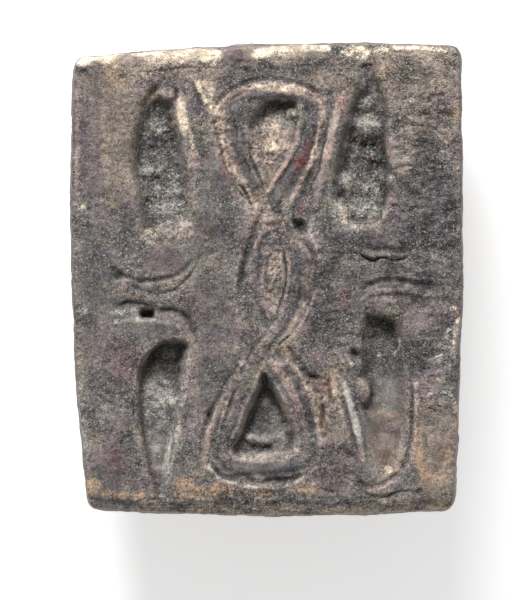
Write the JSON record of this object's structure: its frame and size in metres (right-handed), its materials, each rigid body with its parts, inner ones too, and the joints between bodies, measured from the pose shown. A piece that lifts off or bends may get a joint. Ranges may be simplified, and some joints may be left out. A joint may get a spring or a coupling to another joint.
{
  "type": "scaraboid",
  "caption": "Small carved stone seal: a rectangular block with a domed back, a string hole from end to end and a deep-cut face of knotted ribbon and leaf-shaped hollows.",
  "frame": {"origin": "middle of the small flat on the domed back, on which the stone lies", "axes": "+Z out of the carved face, +Y to the face's upper end, +X to the face's right"},
  "size_m": [0.0132, 0.016, 0.0072],
  "materials": {
    "weathered_stone": "dull dark grey-brown stone with purple and ochre patches, pale worn edges and soil in the cuts"
  },
  "bodies": {
    "root": {"seal_stone": "weathered_stone"}
  },
  "joints": []
}
